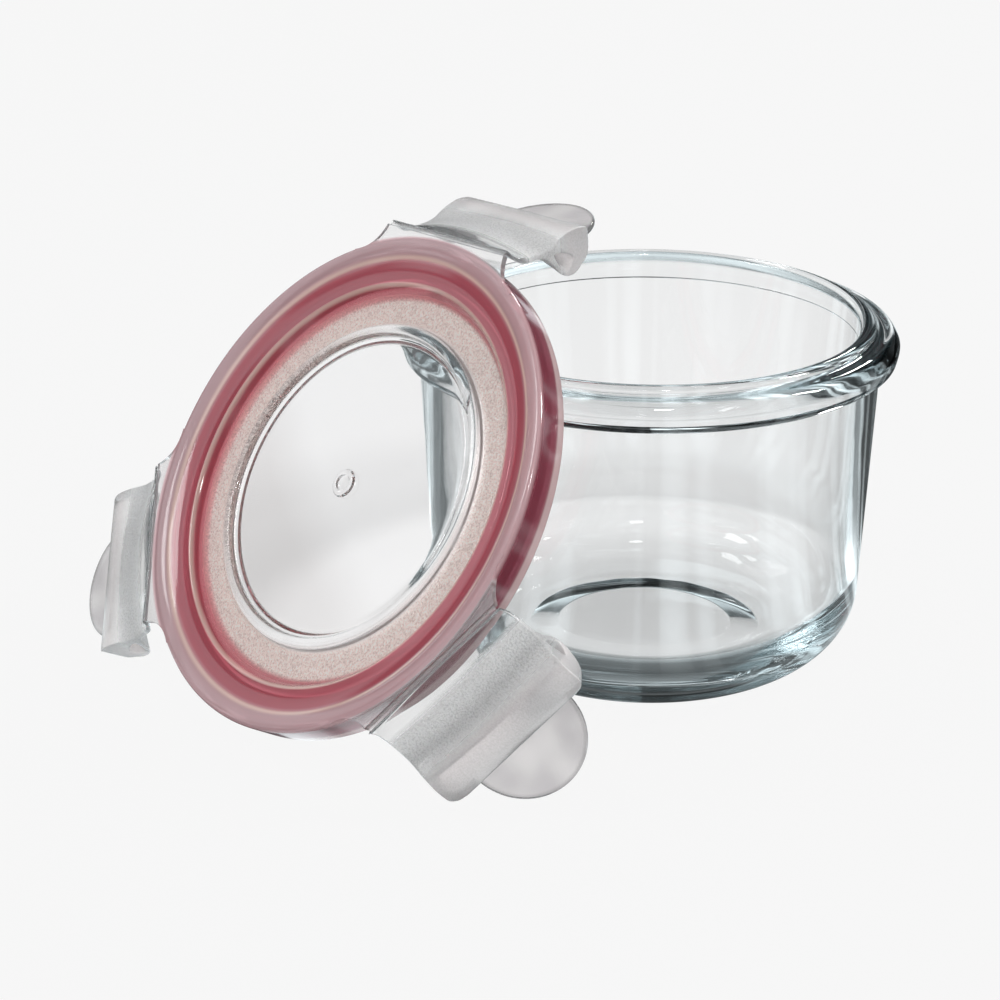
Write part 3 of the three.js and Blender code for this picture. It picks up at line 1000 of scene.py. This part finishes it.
def make_floor():
    """Pale paper that glows: even where it is seen; in reflections dim and fading outwards, as under black flags,
    with painted light bands and a painted contact shadow ring; seen through the glass, with painted shadow under
    and around the bowl.
    """
    half = FLOOR_SIZE / 2
    mesh = bpy.data.meshes.new("studio_floor")
    corners = [(-half, -half), (half, -half), (half, half), (-half, half)]
    mesh.from_pydata([(x, y, -FLOOR_GAP) for x, y in corners], [], [(0, 1, 2, 3)])
    floor = bpy.data.objects.new("studio_floor", mesh)
    bpy.context.scene.collection.objects.link(floor)
    paper = Shader("studio_paper")
    paper.set(
        Base_Color=(PAPER_DIFFUSE,) * 3 + (1,), Roughness=1.0, Specular_IOR_Level=0.0, Emission_Strength=1.0
    )
    separate = paper.node("ShaderNodeSeparateXYZ")
    paper.link(paper.node("ShaderNodeTexCoord").outputs["Object"], separate.inputs[0])
    x, y, _ = separate.outputs
    reach = paper.length(x, y)
    # in reflections: painted light bands away from the bowl, and painted light fading outwards with a painted
    # contact shadow ring
    away = paper.ramp(reach, 0, 0.1, LIGHT_BANDS_FROM)
    painted_light_bands = paper.chosen(away, 1, paper.strips(x, y))
    faded_and_shadowed = paper.math("MULTIPLY", paper.ramp(reach, 0, 1.5, FLOOR_FADE_AND_CONTACT_SHADOW), painted_light_bands)
    # seen through the glass: painted shadow under and around the bowl, and a painted contact shadow at the front
    # of its foot
    under = paper.ramp(reach, 0, 0.2, UNDER_GLASS_PAINTED_SHADOW, smooth=True)
    ring = paper.ramp(reach, 0, 0.1, CONTACT_SHADOW, smooth=True)
    contact = paper.chosen(paper.ramp(y, -0.1, 0.1, CONTACT_FRONT), 1, ring)
    shaded = paper.math("MULTIPLY", under, contact)
    paper.feed(paper.straight_or_else(PAPER_GLOW, shaded, faded_and_shadowed), "Emission Color")
    mesh.materials.append(paper.material)


def make_world():
    """A pale backdrop where it is seen, and in reflections a dim room with bright bands and one panel."""
    world = bpy.data.worlds.new("studio")
    bpy.context.scene.world = world
    world.use_nodes = True
    room = Nodes(world.node_tree)
    separate = room.node("ShaderNodeSeparateXYZ")
    room.link(room.node("ShaderNodeTexCoord").outputs["Generated"], separate.inputs[0])
    x, y, z = separate.outputs
    height = room.ramp(z, 0, 1, WORLD_BY_HEIGHT, smooth=True)
    depth = room.ramp(y, -1, 1, WORLD_BY_DEPTH, smooth=True)
    dim = room.math("MULTIPLY", room.math("MULTIPLY", height, depth), room.strips(x, y))
    panel = room.math("MULTIPLY", room.ramp(z, 0, 1, PANEL_BY_HEIGHT), room.ramp(x, -1, 1, PANEL_BY_SIDE))
    lit = room.math("ADD", dim, room.math("MULTIPLY", panel, PANEL_GLOW))
    overhead = room.ramp(z, -1, 1, BACKDROP_BY_HEIGHT, smooth=True)
    seen = room.straight_or_else(BACKDROP, overhead, lit)
    room.link(seen, room.tree.nodes["Background"].inputs["Color"])


def make_studio():
    make_floor()
    make_world()
    for name, place, size, power in SOFTBOXES:
        softbox(name, place, size, power)


def make_camera():
    """A camera in front of the object, a little above it."""
    data = bpy.data.cameras.new("camera")
    data.lens = CAMERA_LENS
    data.clip_start = NEAREST_SEEN
    camera = bpy.data.objects.new("camera", data)
    elevation = math.radians(CAMERA_ELEVATION)
    camera.location = (
        0,
        -CAMERA_DISTANCE * math.cos(elevation),
        AIM_HEIGHT + CAMERA_DISTANCE * math.sin(elevation),
    )
    camera.rotation_euler = (math.radians(90 - CAMERA_PITCH), 0, math.radians(CAMERA_TURN))
    bpy.context.scene.collection.objects.link(camera)
    bpy.context.scene.camera = camera


def set_light_handling():
    """Plain colours, and enough bounces for light that runs a long way inside the glass."""
    scene = bpy.context.scene
    scene.view_settings.view_transform = "Standard"
    scene.cycles.max_bounces = MANY_BOUNCES
    scene.cycles.glossy_bounces = MANY_BOUNCES
    scene.cycles.transmission_bounces = MANY_BOUNCES
    scene.cycles.transparent_max_bounces = TRANSPARENT_BOUNCES


make_camera()
make_object()
make_studio()
set_light_handling()
